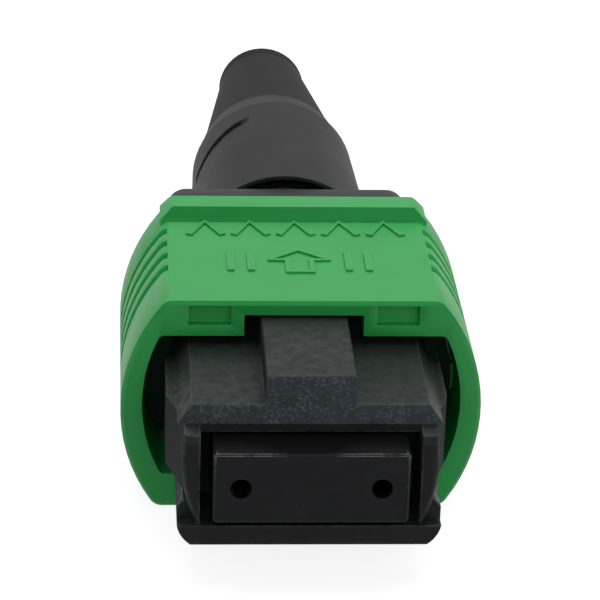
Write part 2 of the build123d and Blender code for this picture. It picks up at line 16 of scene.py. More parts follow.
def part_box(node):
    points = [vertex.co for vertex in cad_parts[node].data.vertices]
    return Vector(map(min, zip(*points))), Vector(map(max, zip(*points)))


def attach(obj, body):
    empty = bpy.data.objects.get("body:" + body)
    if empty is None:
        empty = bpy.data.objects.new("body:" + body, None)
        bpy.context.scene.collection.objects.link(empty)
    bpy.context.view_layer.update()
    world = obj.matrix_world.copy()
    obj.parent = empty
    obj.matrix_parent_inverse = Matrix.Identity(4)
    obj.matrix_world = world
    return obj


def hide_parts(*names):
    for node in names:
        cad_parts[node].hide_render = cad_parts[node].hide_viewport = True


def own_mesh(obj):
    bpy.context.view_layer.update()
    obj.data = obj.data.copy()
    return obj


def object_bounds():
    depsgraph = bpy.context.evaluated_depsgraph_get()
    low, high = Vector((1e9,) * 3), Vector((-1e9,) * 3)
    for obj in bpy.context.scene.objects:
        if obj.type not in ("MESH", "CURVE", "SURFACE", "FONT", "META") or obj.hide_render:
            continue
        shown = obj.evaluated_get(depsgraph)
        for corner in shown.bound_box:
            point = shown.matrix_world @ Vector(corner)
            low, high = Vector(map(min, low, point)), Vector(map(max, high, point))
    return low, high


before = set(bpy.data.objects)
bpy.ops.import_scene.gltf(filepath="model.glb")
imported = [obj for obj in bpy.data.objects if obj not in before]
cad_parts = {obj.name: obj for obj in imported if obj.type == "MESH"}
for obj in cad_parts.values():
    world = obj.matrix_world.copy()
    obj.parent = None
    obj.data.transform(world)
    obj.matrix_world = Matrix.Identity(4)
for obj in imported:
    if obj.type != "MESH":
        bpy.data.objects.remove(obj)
cad_low, cad_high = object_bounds()
MM = 0.001
print("solids loaded:", len(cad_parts))
print("size in mm:", [round(side / MM, 2) for side in cad_high - cad_low])

# %% [markdown]
# ## Camera
# The plug is small, so it is seen through a long lens from about nine centimetres, from above
# and a little to the left of its nose. A long lens keeps the sides of the sleeve nearly
# parallel. The aim point is inside the sleeve, and a slight roll keeps the key's edge level.

# %% Camera
EYE = Vector((-6.5, -86.2, 45.4)) * MM
AIM = Vector((0.45, 15.0, 0.0)) * MM
LENS = 180.0
ROLL = radians(1.8)

camera = bpy.data.objects.new("plug_camera", bpy.data.cameras.new("plug_camera"))
camera.data.lens = LENS
camera.data.clip_start = 0.005
camera.data.clip_end = 5.0
camera.matrix_world = (
    Matrix.Translation(EYE)
    @ (AIM - EYE).to_track_quat("-Z", "Y").to_matrix().to_4x4()
    @ Matrix.Rotation(ROLL, 4, "Z")
)
bpy.context.scene.collection.objects.link(camera)
bpy.context.scene.camera = camera
bpy.context.scene.view_settings.view_transform = "Standard"
print("camera to plug, mm:", round((AIM - EYE).length / MM, 1))

# %% [markdown]
# ## Studio
# Black plastic has almost no colour of its own. What we see on it is the room: pale walls,
# mirrored softly. So the room is white to mirror-like rays and dimmer to the rays that light
# matt surfaces. One broad lamp hangs over the plug and a weaker one stands in front.


# %% World
def seen_or_mirrored(tree, lit, seen):
    """A strength: seen for the camera and mirror-like rays, lit for all others."""
    path = tree.nodes.new("ShaderNodeLightPath")
    flag = path.outputs["Is Camera Ray"]
    for kind in ("Is Glossy Ray", "Is Transmission Ray"):
        larger = tree.nodes.new("ShaderNodeMath")
        larger.operation = "MAXIMUM"
        tree.links.new(flag, larger.inputs[0])
        tree.links.new(path.outputs[kind], larger.inputs[1])
        flag = larger.outputs[0]
    level = tree.nodes.new("ShaderNodeMapRange")
    level.inputs["To Min"].default_value = lit
    level.inputs["To Max"].default_value = seen
    tree.links.new(flag, level.inputs["Value"])
    return level.outputs["Result"]


def studio_world(seen, light):
    """White to the camera and in reflections, and dimmer as a light on matt surfaces."""
    world = bpy.data.worlds.new("studio_room")
    world.use_nodes = True
    tree = world.node_tree
    tree.nodes.clear()
    background = tree.nodes.new("ShaderNodeBackground")
    background.inputs["Color"].default_value = (1, 1, 1, 1)
    tree.links.new(seen_or_mirrored(tree, light, seen), background.inputs["Strength"])
    output = tree.nodes.new("ShaderNodeOutputWorld")
    tree.links.new(background.outputs[0], output.inputs["Surface"])
    return world


bpy.context.scene.world = studio_world(seen=1.0, light=0.42)
print("room:", bpy.context.scene.world.name)

# %% [markdown]
# ### Lamps
# The overhead lamp is a square of thirteen centimetres, more than three times as long as the
# plug, so its light wraps round the sleeve and no shadow has a hard edge. The lamp in front has
# a third of its power: without it the ferrule's face would sink into the mouth.


# %% Lamps
def soft_lamp(name, place, target, size, power):
    """A square area lamp, in millimetres, turned to face its target."""
    lamp = bpy.data.lights.new(name, "AREA")
    lamp.size = size * MM
    lamp.energy = power
    holder = bpy.data.objects.new(name, lamp)
    spot = Vector(place) * MM
    turn = (Vector(target) * MM - spot).to_track_quat("-Z", "Y").to_matrix().to_4x4()
    holder.matrix_world = Matrix.Translation(spot) @ turn
    bpy.context.scene.collection.objects.link(holder)
    return holder


soft_lamp("overhead_lamp", (5, 38, 122), (0, 12, 0), size=130, power=0.134)
soft_lamp("front_lamp", (30, -130, 50), (0, 5, 0), size=110, power=0.047)
print("lamps:", [lamp.name for lamp in bpy.data.lights])

# %% [markdown]
# ## Floor
# A plain pale floor under the plug. To the camera it is as white as the room, so no horizon
# shows, but it still takes the plug's soft shadow.

# %% Floor
FLOOR_HALF = 400.0
FLOOR_GLOW = 0.86                              # lifts the lit floor to the white of the room


def pale_floor_finish():
    """Matt white, lifted to the white of the room where the camera sees it."""
    finish = bpy.data.materials.new("pale_floor")
    finish.use_nodes = True
    tree = finish.node_tree
    shader = tree.nodes["Principled BSDF"]
    shader.inputs["Base Color"].default_value = (0.28, 0.28, 0.28, 1)
    shader.inputs["Roughness"].default_value = 0.9
    shader.inputs["Specular IOR Level"].default_value = 0.0
    shader.inputs["Emission Color"].default_value = (1, 1, 1, 1)
    tree.links.new(seen_or_mirrored(tree, 0.0, FLOOR_GLOW), shader.inputs["Emission Strength"])
    return finish


floor_mesh = bpy.data.meshes.new("studio_floor")
reach, level = FLOOR_HALF * MM, cad_low.z
corners = [(side * reach, end * reach, level) for side, end in ((-1, -1), (1, -1), (1, 1), (-1, 1))]
floor_mesh.from_pydata(corners, [], [(0, 1, 2, 3)])
floor = bpy.data.objects.new("studio_floor", floor_mesh)
floor_mesh.materials.append(pale_floor_finish())
bpy.context.scene.collection.objects.link(floor)
print("floor at z, mm:", round(level / MM, 2))

# %% [markdown]
# ## Shader groups
# Every part is moulded, drawn or polished, and each of those leaves a fine relief that a bare
# Principled shader lacks. The reliefs are made once, as node groups with their own sockets,
# and then placed in each material with that material's numbers. Object coordinates are in
# metres, so each group first turns them into millimetres: a scale of 4 then means four
# features in a millimetre.


# %% Group helpers
def new_group(name, numbers, outputs):
    """A shader node group with float inputs {name: default} and outputs {name: type}."""
    group = bpy.data.node_groups.new(name, "ShaderNodeTree")
    for label, value in numbers.items():
        socket = group.interface.new_socket(label, in_out="INPUT", socket_type="NodeSocketFloat")
        socket.default_value = value
    for label, kind in outputs.items():
        group.interface.new_socket(label, in_out="OUTPUT", socket_type=kind)
    entry = group.nodes.new("NodeGroupInput")
    exit_node = group.nodes.new("NodeGroupOutput")
    return group, entry, exit_node


def in_millimetres(tree, stretch=(1, 1, 1)):
    """Object coordinates in millimetres, stretched along some axes if asked."""
    place = tree.nodes.new("ShaderNodeTexCoord")
    scaled = tree.nodes.new("ShaderNodeMapping")
    scaled.inputs["Scale"].default_value = [s / MM for s in stretch]
    tree.links.new(place.outputs["Object"], scaled.inputs["Vector"])
    return scaled.outputs["Vector"]


def noise(tree, where, scale, detail=2.0):
    """A noise texture; scale is a number or a socket."""
    node = tree.nodes.new("ShaderNodeTexNoise")
    node.inputs["Detail"].default_value = detail
    tree.links.new(where, node.inputs["Vector"])
    if isinstance(scale, (int, float)):
        node.inputs["Scale"].default_value = scale
    else:
        tree.links.new(scale, node.inputs["Scale"])
    return node.outputs["Fac"]


def mathematics(tree, operation, first, second=0.0):
    """One Math node; each operand is a number or a socket."""
    node = tree.nodes.new("ShaderNodeMath")
    node.operation = operation
    for slot, value in zip(node.inputs, (first, second)):
        if isinstance(value, (int, float)):
            slot.default_value = value
        else:
            tree.links.new(value, slot)
    return node.outputs[0]


def remap(tree, value, low, high, to_low=0.0, to_high=1.0):
    """Map Range, clamped."""
    node = tree.nodes.new("ShaderNodeMapRange")
    tree.links.new(value, node.inputs["Value"])
    numbers = {"From Min": low, "From Max": high, "To Min": to_low, "To Max": to_high}
    for label, number in numbers.items():
        node.inputs[label].default_value = number
    return node.outputs["Result"]


# %% [markdown]
# ### Masks
# A mask is a value that is 1 where a finish shows and 0 elsewhere. Multiplied masks leave what
# is in all of them, and the larger of two masks covers what is in either. A distance, remapped,
# makes a soft-edged band.


# %% Mask helpers
def both(tree, *masks):
    """One mask, where all of the masks are."""
    joined = masks[0]
    for mask in masks[1:]:
        joined = mathematics(tree, "MULTIPLY", joined, mask)
    return joined


def either(tree, first, second):
    """One mask, where at least one of two masks is."""
    return mathematics(tree, "MAXIMUM", first, second)


def away_from(tree, value, centre=0.0):
    """How far a value is from a centre, to either side of it."""
    return mathematics(tree, "ABSOLUTE", mathematics(tree, "SUBTRACT", value, centre))


def split_xyz(tree, vector):
    """The X, Y and Z sockets of a vector."""
    parts = tree.nodes.new("ShaderNodeSeparateXYZ")
    tree.links.new(vector, parts.inputs[0])
    return parts.outputs["X"], parts.outputs["Y"], parts.outputs["Z"]


def facing(tree):
    """The object's own normal, as three sockets."""
    place = tree.nodes.new("ShaderNodeTexCoord")
    return split_xyz(tree, place.outputs["Normal"])


# %% [markdown]
# ### Moulded skin
# The tool that moulds a plastic part is spark-eroded or stoned, and the part copies its skin:
# a fine grain over a slow waviness where the plastic shrank. The group puts out the relief
# for a Bump node and a slow mottle for colour and gloss.


# %% Moulded skin group
MOST_NOISE = (0.3, 0.7)                        # nearly all values of a noise lie in this range


def build_moulded_skin():
    group, entry, exit_node = new_group(
        "moulded_skin",
        {"Grain per mm": 9.0, "Wave per mm": 0.5, "Grain share": 0.5},
        {"Height": "NodeSocketFloat", "Mottle": "NodeSocketFloat"},
    )
    where = in_millimetres(group)
    grain = noise(group, where, entry.outputs["Grain per mm"], detail=3.0)
    wave = noise(group, where, entry.outputs["Wave per mm"], detail=1.0)
    mix = group.nodes.new("ShaderNodeMix")
    group.links.new(entry.outputs["Grain share"], mix.inputs["Factor"])
    group.links.new(wave, mix.inputs[2])
    group.links.new(grain, mix.inputs[3])
    group.links.new(mix.outputs[0], exit_node.inputs["Height"])
    group.links.new(remap(group, wave, *MOST_NOISE), exit_node.inputs["Mottle"])
    return group


MOULDED_SKIN = build_moulded_skin()
print("shader group:", MOULDED_SKIN.name)

# %% [markdown]
# ### Rubbed edges
# Handling polishes and greys the outer edges of a plastic part. The Bevel node gives the
# normal that the surface would have if its edges were round; where that differs from the true
# normal there is an edge. A noise breaks the line up.


# %% Rubbed edge group
FLAT, EDGE = 0.995, 0.86                       # how far the two normals agree


def build_rubbed_edges():
    group, entry, exit_node = new_group(
        "rubbed_edges",
        {"Width mm": 0.12, "Patches per mm": 2.5, "Strength": 1.0},
        {"Mask": "NodeSocketFloat"},
    )
    rounded_normal = group.nodes.new("ShaderNodeBevel")
    rounded_normal.samples = 6
    width = mathematics(group, "MULTIPLY", entry.outputs["Width mm"], MM)
    group.links.new(width, rounded_normal.inputs["Radius"])
    true_normal = group.nodes.new("ShaderNodeNewGeometry")
    agree = group.nodes.new("ShaderNodeVectorMath")
    agree.operation = "DOT_PRODUCT"
    group.links.new(rounded_normal.outputs[0], agree.inputs[0])
    group.links.new(true_normal.outputs["Normal"], agree.inputs[1])
    edge = remap(group, agree.outputs["Value"], FLAT, EDGE)
    cloud = noise(group, in_millimetres(group), entry.outputs["Patches per mm"])
    rubbed = both(group, edge, remap(group, cloud, 0.35, 0.6), entry.outputs["Strength"])
    group.links.new(rubbed, exit_node.inputs["Mask"])
    return group


RUBBED_EDGES = build_rubbed_edges()
print("shader group:", RUBBED_EDGES.name)

# %% [markdown]
# ### Flecks
# Glass-filled plastic shows pale flecks of no fixed shape. Two noises are laid over each other,
# a fine one that draws the flecks and a slow one that gathers them in drifts. Only their peaks
# are kept.


# %% Fleck group
GATHERING = 0.35                               # how far the slow noise moves the fine one


def build_flecks():
    group, entry, exit_node = new_group(
        "flecks",
        {"Flecks per mm": 9.0, "Drifts per mm": 1.2, "Rarity": 0.56},
        {"Mask": "NodeSocketFloat"},
    )
    where = in_millimetres(group)
    fine = noise(group, where, entry.outputs["Flecks per mm"], detail=1.0)
    drift = noise(group, where, entry.outputs["Drifts per mm"], detail=1.0)
    gathered = mathematics(group, "MULTIPLY", mathematics(group, "SUBTRACT", drift, 0.5), GATHERING)
    heaped = mathematics(group, "ADD", fine, gathered)
    peaks = mathematics(group, "SUBTRACT", heaped, entry.outputs["Rarity"])
    group.links.new(remap(group, peaks, 0.0, 0.1), exit_node.inputs["Mask"])
    return group


FLECKS = build_flecks()
print("shader group:", FLECKS.name)

# %% [markdown]
# ### Material helpers
# Each material is one Principled shader, and masks choose between its colours. These helpers
# keep the wiring out of the way, so that the recipes that follow read as recipes.


# %% Material helpers
def new_finish(name, roughness, **constants):
    """A material with its Principled shader; constants are set straight on the sockets."""
    finish = bpy.data.materials.new(name)
    finish.use_nodes = True
    shader = finish.node_tree.nodes["Principled BSDF"]
    shader.inputs["Roughness"].default_value = roughness
    for label, value in constants.items():
        shader.inputs[label.replace("_", " ")].default_value = value
    return finish, finish.node_tree, shader


def place_group(tree, group, **numbers):
    """Places a shader group in a material with its own values."""
    node = tree.nodes.new("ShaderNodeGroup")
    node.node_tree = group
    for label, value in numbers.items():
        node.inputs[label.replace("_", " ")].default_value = value
    return node


def blend_colour(tree, mask, first, second):
    """Mixes two colours by a mask; each is a colour or a socket."""
    node = tree.nodes.new("ShaderNodeMix")
    node.data_type = "RGBA"
    tree.links.new(mask, node.inputs["Factor"])
    for index, colour in ((6, first), (7, second)):
        if isinstance(colour, tuple):
            node.inputs[index].default_value = (*colour, 1)
        else:
            tree.links.new(colour, node.inputs[index])
    return node.outputs[2]


def relief(tree, shader, height, depth_mm):
    """Feeds a height through a Bump node to the shader."""
    bump = tree.nodes.new("ShaderNodeBump")
    bump.inputs["Distance"].default_value = depth_mm * MM
    tree.links.new(height, bump.inputs["Height"])
    tree.links.new(bump.outputs[0], shader.inputs["Normal"])


# %% [markdown]
# ## Plastics
# The sleeve is a satin green, the push a hard black, the boot a softer black, the pin clamp a
# grey, and the rubber round the fibres a dull dark one. All five are the same recipe with other
# numbers, so the recipe is a function: two close colours mixed by the mottle, paler at rubbed
# edges, and a relief.


# %% Moulded plastic
GLOSS_SPREAD = 0.04                            # the mottle's share of the roughness


def moulded_plastic(name, dark, pale, rubbed, roughness, grain, depth_mm, **constants):
    """Two close colours mixed by the mottle, paler where edges are rubbed, and a relief."""
    finish, tree, shader = new_finish(name, roughness, **constants)
    skin = place_group(tree, MOULDED_SKIN, Grain_per_mm=grain)
    edges = place_group(tree, RUBBED_EDGES, Strength=0.5)
    body = blend_colour(tree, skin.outputs["Mottle"], dark, pale)
    body = blend_colour(tree, edges.outputs["Mask"], body, rubbed)
    tree.links.new(body, shader.inputs["Base Color"])
    low, high = roughness - GLOSS_SPREAD, roughness + GLOSS_SPREAD
    gloss = remap(tree, skin.outputs["Mottle"], 0.0, 1.0, low, high)
    tree.links.new(gloss, shader.inputs["Roughness"])
    relief(tree, shader, skin.outputs["Height"], depth_mm)
    return finish


sleeve_green = moulded_plastic(
    "sleeve_green",
    dark=(0.009, 0.270, 0.048), pale=(0.012, 0.295, 0.055), rubbed=(0.05, 0.38, 0.12),
    roughness=0.5, grain=7.0, depth_mm=0.004, Specular_IOR_Level=0.38,
)
push_black = moulded_plastic(
    "push_black",
    dark=(0.020, 0.021, 0.023), pale=(0.025, 0.026, 0.028), rubbed=(0.07, 0.07, 0.075),
    roughness=0.48, grain=8.0, depth_mm=0.004, Specular_IOR_Level=0.15,
)
boot_black = moulded_plastic(
    "boot_black",
    dark=(0.013, 0.0132, 0.0145), pale=(0.018, 0.0183, 0.0195), rubbed=(0.04, 0.04, 0.04),
    roughness=0.55, grain=5.0, depth_mm=0.005, Specular_IOR_Level=0.11,
)
clamp_grey = moulded_plastic(
    "clamp_grey",
    dark=(0.045, 0.045, 0.05), pale=(0.06, 0.06, 0.065), rubbed=(0.12, 0.12, 0.12),
    roughness=0.5, grain=8.0, depth_mm=0.003,
)
soft_rubber = moulded_plastic(
    "soft_rubber",
    dark=(0.03, 0.03, 0.03), pale=(0.045, 0.045, 0.045), rubbed=(0.06, 0.06, 0.06),
    roughness=0.7, grain=4.0, depth_mm=0.006,
)
print("materials so far:", [finish.name for finish in bpy.data.materials])

# %% [markdown]
# ### Patches
# Some places of a moulding look unlike the rest of it. A mask made from the place on the piece,
# or from its normal, picks such a place out, and a patch blends its own colour and roughness
# over the material there. One material can carry several, each laid over those before it.


# %% Patch helper
def patch(finish, mask, colour, roughness):
    """Blends a colour and a roughness over a material where the mask is 1."""
    tree = finish.node_tree
    shader = tree.nodes["Principled BSDF"]
    under = shader.inputs["Base Color"].links[0].from_socket
    tree.links.new(blend_colour(tree, mask, under, colour), shader.inputs["Base Color"])
    gloss = tree.nodes.new("ShaderNodeMix")
    tree.links.new(mask, gloss.inputs["Factor"])
    tree.links.new(shader.inputs["Roughness"].links[0].from_socket, gloss.inputs[2])
    gloss.inputs[3].default_value = roughness
    tree.links.new(gloss.outputs[0], shader.inputs["Roughness"])


# %% [markdown]
# ### The sleeve's patches
# The slopes that lean forward, on the pull ridge and along the front edge, lie in shade and
# look a deeper and duller green than the top; the first patch is painted shade that deepens it.
# The grip grooves of the solid are crisper than real ones, which look soft. Their shape is kept,
# and the second patch is painted light: a paler green over the shade of their walls, so that
# they stand out less.

# %% Patch the sleeve
GRIP = (8.7, 12.44)                            # along the sleeve, from first groove to last
GRIP_SIDE = 4.57                               # where the grooves begin, from the middle
RIDGE_FOOT = (4.02, 4.08)                      # just above the flat top
SOFT = 0.1                                     # width of a patch's soft edge


def patch_sleeve(finish):
    """Painted shade on the front slopes, and painted light on the walls of the grip."""
    tree = finish.node_tree
    across, along, up = split_xyz(tree, in_millimetres(tree))
    _, backward, upward = facing(tree)
    leaning = either(tree, remap(tree, upward, 0.25, 0.45), remap(tree, up, *RIDGE_FOOT))
    slope_shade = both(tree, remap(tree, backward, -0.35, -0.6), leaning)
    # painted shade on the slopes that lean forward
    patch(finish, slope_shade, (0.004, 0.215, 0.036), 0.8)
    first, last = GRIP
    in_grip = both(
        tree, remap(tree, along, first - SOFT, first), remap(tree, along, last + SOFT, last)
    )
    inner, outer = GRIP_SIDE - SOFT / 2, GRIP_SIDE + SOFT / 2
    on_flank = remap(tree, away_from(tree, across), inner, outer)
    groove_wall_light = both(tree, in_grip, on_flank, remap(tree, backward, -0.3, -0.8))
    # painted light: a paler green over the shaded walls of the grip grooves
    patch(finish, groove_wall_light, (0.022, 0.50, 0.105), 0.6)


patch_sleeve(sleeve_green)
print("patched:", sleeve_green.name)

# %% [markdown]
# ### The boot's patches
# The boot's tail looks duller than its body. A soft painted highlight runs round the crease
# where the two meet, and painted shade fills the slit that lets it bend, all through. The slit
# slants, so its mask is the distance from a slanting line: the offsets along and up, turned by
# the line's angle.

# %% Patch the boot
CREASE = 28.9                                  # along the boot
CREASE_REACH = 0.26                            # from its middle to where it fades out
SLIT_TOP = (25.53, 2.98)                       # upper end of its middle line, along and up
SLIT_TURN = radians(33)                        # from upright
SLIT_DARK, SLIT_FADE = 0.19, 0.34              # from the middle line


def patch_boot(finish):
    """The duller tail, a painted highlight on the crease, painted shade in the slit on the left
    flank.
    """
    tree = finish.node_tree
    across, along, up = split_xyz(tree, in_millimetres(tree))
    tail = remap(tree, along, CREASE - 0.2, CREASE + 0.3)
    patch(finish, tail, (0.0108, 0.0108, 0.0108), 0.72)
    # painted highlight round the crease, where the slope of the boot changes
    crease = remap(tree, away_from(tree, along, CREASE), CREASE_REACH, 0.0, 0.0, 0.35)
    patch(finish, crease, (0.025, 0.025, 0.026), 0.6)
    # painted shade in the slit: a dark band along its slanting line
    behind = mathematics(tree, "SUBTRACT", along, SLIT_TOP[0])
    above = mathematics(tree, "SUBTRACT", up, SLIT_TOP[1])
    turned_behind = mathematics(tree, "MULTIPLY", behind, cos(SLIT_TURN))
    turned_above = mathematics(tree, "MULTIPLY", above, sin(SLIT_TURN))
    near_line = remap(tree, away_from(tree, turned_behind, turned_above), SLIT_FADE, SLIT_DARK)
    on_left = remap(tree, across, 0.0, -0.1)
    below_top = remap(tree, up, SLIT_TOP[1] + 0.14, SLIT_TOP[1])
    over_foot = remap(tree, up, 0.9, 1.1)
    slit = both(tree, near_line, on_left, below_top, over_foot)
    patch(finish, slit, (0.0005, 0.0005, 0.0005), 1.0)


patch_boot(boot_black)
print("patched:", boot_black.name)

# %% [markdown]
# ## Housing
# The housing is a hard black too, but its blunt front over the mouth was left with the coarse
# skin of the spark: it is greyer, rougher and full of bluish flecks. The sliding flanks are matt,
# and so are the faces deep in the sleeve. Painted shade darkens the flanks, the front faces lower
# than the top of the mouth and the deep faces, and the deep faces also get a painted reflection
# of the sleeve's green. A faint green tint in the clouded black is painted reflection of the
# sleeve as well. The object's own normal and place give the masks.


# %% Housing material
FACES_FRONT = (-0.9, -0.98)                    # the normal's Y, from the first hint to square on
FACES_SIDE = (0.8, 0.95)                       # the normal's X, either way
SPARKED_ABOVE = (1.62, 1.72)                   # heights on the nose's front
SHADED_BELOW = (1.35, 1.25)
DEEP_BEHIND = (1.7, 2.2)                       # from the tip of the nose


def housing_plastic():
    """Clouded black with a painted green reflection, a flecked front, matt flanks, painted shade.
    """
    finish, tree, shader = new_finish("housing_black", 0.46, Specular_IOR_Level=0.13)
    skin = place_group(tree, MOULDED_SKIN, Grain_per_mm=9.0)
    coarse = place_group(tree, MOULDED_SKIN, Grain_per_mm=6.0, Wave_per_mm=2.0, Grain_share=0.7)
    edges = place_group(tree, RUBBED_EDGES, Strength=0.7)
    flecks = place_group(tree, FLECKS)
    where = in_millimetres(tree)
    _, along, up = split_xyz(tree, where)
    sideways, backward, _ = facing(tree)

    squarely = remap(tree, backward, *FACES_FRONT)
    front = both(tree, squarely, remap(tree, up, *SPARKED_ABOVE))
    # painted shade on the front faces lower than the top of the mouth
    low = both(tree, squarely, remap(tree, up, *SHADED_BELOW))
    deep = both(tree, squarely, remap(tree, along, *DEEP_BEHIND))
    flank = remap(tree, away_from(tree, sideways), *FACES_SIDE)
    cloud = remap(tree, noise(tree, where, 2.6, detail=4.0), 0.35, 0.65)

    spark = blend_colour(
        tree, coarse.outputs["Height"], (0.018, 0.024, 0.027), (0.060, 0.078, 0.086)
    )
    spark = blend_colour(tree, flecks.outputs["Mask"], spark, (0.073, 0.096, 0.106))
    # the green tint of these two blacks is painted reflection of the sleeve
    body = blend_colour(tree, cloud, (0.0085, 0.0125, 0.0110), (0.0175, 0.0225, 0.0205))
    colour = blend_colour(tree, low, body, (0.0062, 0.0060, 0.0068))
    colour = blend_colour(tree, front, colour, spark)
    colour = blend_colour(tree, edges.outputs["Mask"], colour, (0.08, 0.085, 0.085))
    # painted shade darkens the flanks, which the roughness below also makes matt
    colour = blend_colour(tree, flank, colour, (0.0065, 0.0080, 0.0075))
    # painted shade and painted green reflection on the faces deep in the sleeve
    colour = blend_colour(tree, deep, colour, (0.008, 0.024, 0.013))
    tree.links.new(colour, shader.inputs["Base Color"])

    worn = remap(tree, cloud, 0.0, 1.0, 0.56, 0.40)
    matt = mathematics(tree, "MULTIPLY", either(tree, front, either(tree, flank, deep)), 0.85)
    tree.links.new(either(tree, worn, matt), shader.inputs["Roughness"])
    rough_front = both(tree, front, coarse.outputs["Height"])
    height = mathematics(tree, "ADD", skin.outputs["Height"], rough_front)
    relief(tree, shader, height, 0.008)
    return finish


housing_black = housing_plastic()
print("material:", housing_black.name)

# %% [markdown]
# ## Ferrule
# The ferrule is a very stiff resin full of fine glass, lapped on its front face. Lapping leaves
# faint straight scratches. A painted highlight lies on the edges of the face, along the top edge
# toward its ends and down the upper sides, and painted shade darkens the faces that look up.


# %% Ferrule material
HIGHLIGHT_BEYOND = (0.7, 1.3)                       # across, from the middle
HIGHLIGHT_ABOVE = (0.3, 1.15)
HIGHLIGHT_BEFORE = (0.3, 0.15)                      # from the ferrule's face


def lapped_resin():
    """Near-black resin, a scratched face, painted shade on top, a painted top-edge highlight."""
    finish, tree, shader = new_finish("ferrule_resin", 0.38, Specular_IOR_Level=0.09)
    skin = place_group(tree, MOULDED_SKIN, Grain_per_mm=12.0, Wave_per_mm=0.8)
    flecks = place_group(tree, FLECKS, Flecks_per_mm=6.0, Drifts_per_mm=0.5, Rarity=0.72)
    edges = place_group(tree, RUBBED_EDGES, Width_mm=0.07, Patches_per_mm=2.2)
    scratches = noise(tree, in_millimetres(tree, stretch=(0.4, 1, 14)), 2.0, detail=3.0)
    across, along, up = split_xyz(tree, in_millimetres(tree))
    upward = facing(tree)[2]

    ends = remap(tree, away_from(tree, across), *HIGHLIGHT_BEYOND)
    high, near = remap(tree, up, *HIGHLIGHT_ABOVE), remap(tree, along, *HIGHLIGHT_BEFORE)
    # painted highlight on the upper edges of the face
    top_edge_highlight = both(tree, edges.outputs["Mask"], ends, high, near)
    body = blend_colour(
        tree, skin.outputs["Mottle"], (0.0090, 0.0092, 0.0105), (0.0115, 0.0118, 0.0130)
    )
    body = blend_colour(tree, flecks.outputs["Mask"], body, (0.030, 0.030, 0.030))
    # painted shade on the faces that look up
    body = blend_colour(tree, remap(tree, upward, 0.6, 0.95), body, (0.0035, 0.0035, 0.0040))
    body = blend_colour(tree, top_edge_highlight, body, (0.30, 0.30, 0.31))
    tree.links.new(body, shader.inputs["Base Color"])
    gloss = remap(tree, scratches, *MOST_NOISE, 0.36, 0.5)
    tree.links.new(gloss, shader.inputs["Roughness"])
    relief(tree, shader, scratches, 0.0015)
    return finish


ferrule_resin = lapped_resin()
print("material:", ferrule_resin.name)

# %% [markdown]
# ## Metal, glass, glue and ribbon
# The inner parts show when the sleeve is pulled back or through the nose. Steel wire and the
# crimped ring are bright with a faint mottle, cured glue is amber under a clear coat, and the
# fibres' dark ends are lapped flush with the face.


# %% Inner finishes
def drawn_metal(name, colour, roughness):
    """Bright metal, a fifth darker in the hollows of its mottle."""
    finish, tree, shader = new_finish(name, roughness, Metallic=1.0)
    skin = place_group(tree, MOULDED_SKIN, Grain_per_mm=14.0, Wave_per_mm=1.5)
    shade = tuple(0.8 * part for part in colour)
    mottled = blend_colour(tree, skin.outputs["Mottle"], shade, colour)
    tree.links.new(mottled, shader.inputs["Base Color"])
    relief(tree, shader, skin.outputs["Height"], 0.003)
    return finish


def clear_resin(name, pale, deep, roughness, **constants):
    """Glue, glass or coating: two close colours in slow drifts, and almost no relief."""
    finish, tree, shader = new_finish(name, roughness, **constants)
    skin = place_group(tree, MOULDED_SKIN, Grain_per_mm=6.0, Wave_per_mm=2.0)
    mottled = blend_colour(tree, skin.outputs["Mottle"], pale, deep)
    tree.links.new(mottled, shader.inputs["Base Color"])
    relief(tree, shader, skin.outputs["Height"], 0.002)
    return finish


crimp_metal = drawn_metal("crimp_metal", (0.55, 0.56, 0.58), 0.38)
spring_steel = drawn_metal("spring_steel", (0.50, 0.50, 0.52), 0.3)
clear_epoxy = clear_resin(
    "clear_epoxy", (0.50, 0.36, 0.12), (0.42, 0.28, 0.08), 0.2,
    Coat_Weight=0.6, Coat_Roughness=0.08,
)
fibre_glass = clear_resin(
    "fibre_glass", (0.0065, 0.0068, 0.0075), (0.0080, 0.0083, 0.0090), 0.3,
    Specular_IOR_Level=0.12,
)
ribbon_coating = clear_resin(
    "ribbon_coating", (0.20, 0.42, 0.52), (0.16, 0.36, 0.46), 0.35,
    Coat_Weight=0.6, Coat_Roughness=0.08,
)
print("materials:", len(bpy.data.materials))

# %% [markdown]
# ## Rounded mouldings
# No moulded edge is truly sharp: each has a small radius that catches a line of light. The
# solids come as loose triangles with sharp edges, so a copy is welded, its flat faces are
# joined up again, and a Bevel modifier rounds what is left. The work is done in millimetres
# and shrunk at the end, because Blender's tools drop details smaller than a micron.


# %% Rounding helper
WELD = 0.0005                                  # joins points nearer than this, in millimetres
SAME_PLANE = radians(0.4)                      # faces that differ by less become one
STEEPEST_SOFT = radians(25)                    # edges that turn by less stay as they are


def as_piece(name, mesh, body, finish, stands_for=()):
    """Links a finished mesh, in metres, as a piece that rides on a body."""
    mesh.name = name
    mesh.materials.clear()
    mesh.materials.append(finish)
    piece = bpy.data.objects.new(name, mesh)
    bpy.context.scene.collection.objects.link(piece)
    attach(piece, body)
    if stands_for:
        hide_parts(*stands_for)
    return piece


